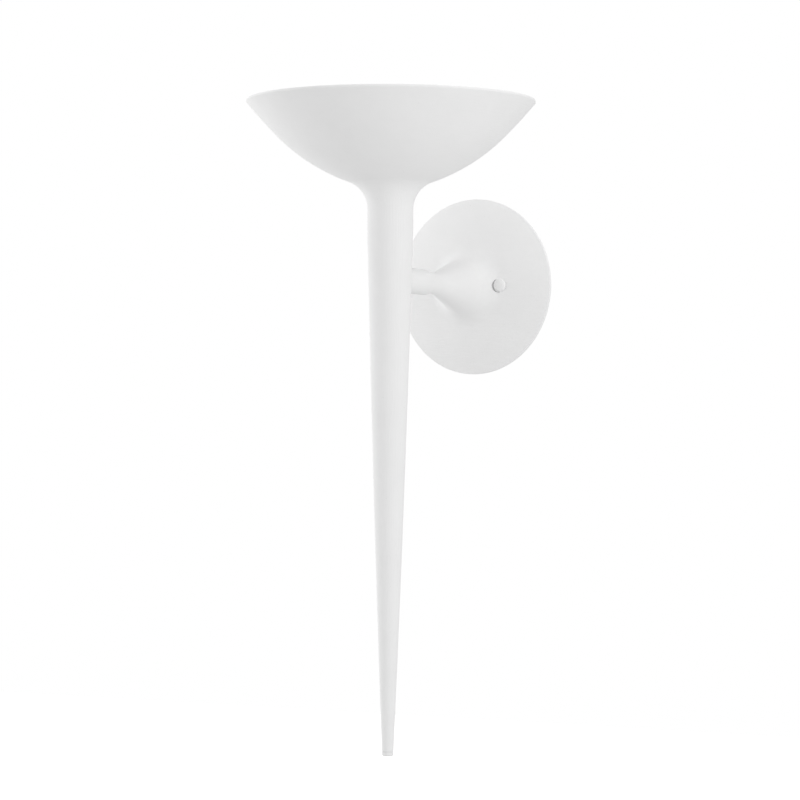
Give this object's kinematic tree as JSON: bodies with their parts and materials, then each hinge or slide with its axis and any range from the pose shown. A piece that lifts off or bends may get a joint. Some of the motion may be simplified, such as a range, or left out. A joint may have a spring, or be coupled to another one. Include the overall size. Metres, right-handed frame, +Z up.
{
  "type": "torch wall sconce",
  "caption": "White torch wall sconce: shallow uplight bowl on a long tapered stem, held off the wall by a short flared arm on a round domed backplate.",
  "frame": {"origin": "centre of the wall bar's two slots, in the wall plane, which is also the centre of the backplate's back face", "axes": "+Z up along the stem, +Y into the wall, +X to the right seen from the front; the bowl and stem stand off the wall towards -Y"},
  "size_m": [0.271, 0.2895, 0.6097],
  "materials": {
    "white_gesso": "matte hand-applied white gesso",
    "zinc_steel": "zinc-plated",
    "brass": "plain",
    "porcelain": "glazed white",
    "nylon": "moulded",
    "green_screw": "green dyed",
    "frosted_glass": "frosted",
    "nickel_cap": "bright",
    "black_glass": "black glass",
    "black_wire": "insulated wire",
    "white_wire": "insulated wire",
    "green_wire": "insulated wire"
  },
  "bodies": {
    "root": {"bowl": "white_gesso", "stem": "white_gesso", "stem_tip": "white_gesso", "arm_sleeve": "white_gesso", "backplate": "white_gesso", "cap_nuts": "white_gesso", "arm_nipple": "zinc_steel", "arm_lock_washer": "zinc_steel", "ground_lug": "zinc_steel", "arm_locknut": "brass", "wire_bushing": "nylon", "box_bar": "zinc_steel", "stud_bar": "zinc_steel", "bar_eyelet": "zinc_steel", "mounting_studs": "zinc_steel", "stud_nuts": "zinc_steel", "ground_screw": "green_screw", "socket_bridge": "zinc_steel", "socket_nipple": "zinc_steel", "socket_locknuts": "brass", "socket_cap": "zinc_steel", "socket_body": "porcelain", "screw_shell": "brass", "centre_contact": "brass", "terminal_screws": "brass", "shade_ring": "porcelain", "bulb_envelope": "frosted_glass", "bulb_cap": "nickel_cap", "bulb_insulator": "black_glass", "bulb_contact": "nickel_cap", "live_lead": "black_wire", "neutral_lead": "white_wire", "ground_lead": "green_wire"}
  },
  "joints": []
}
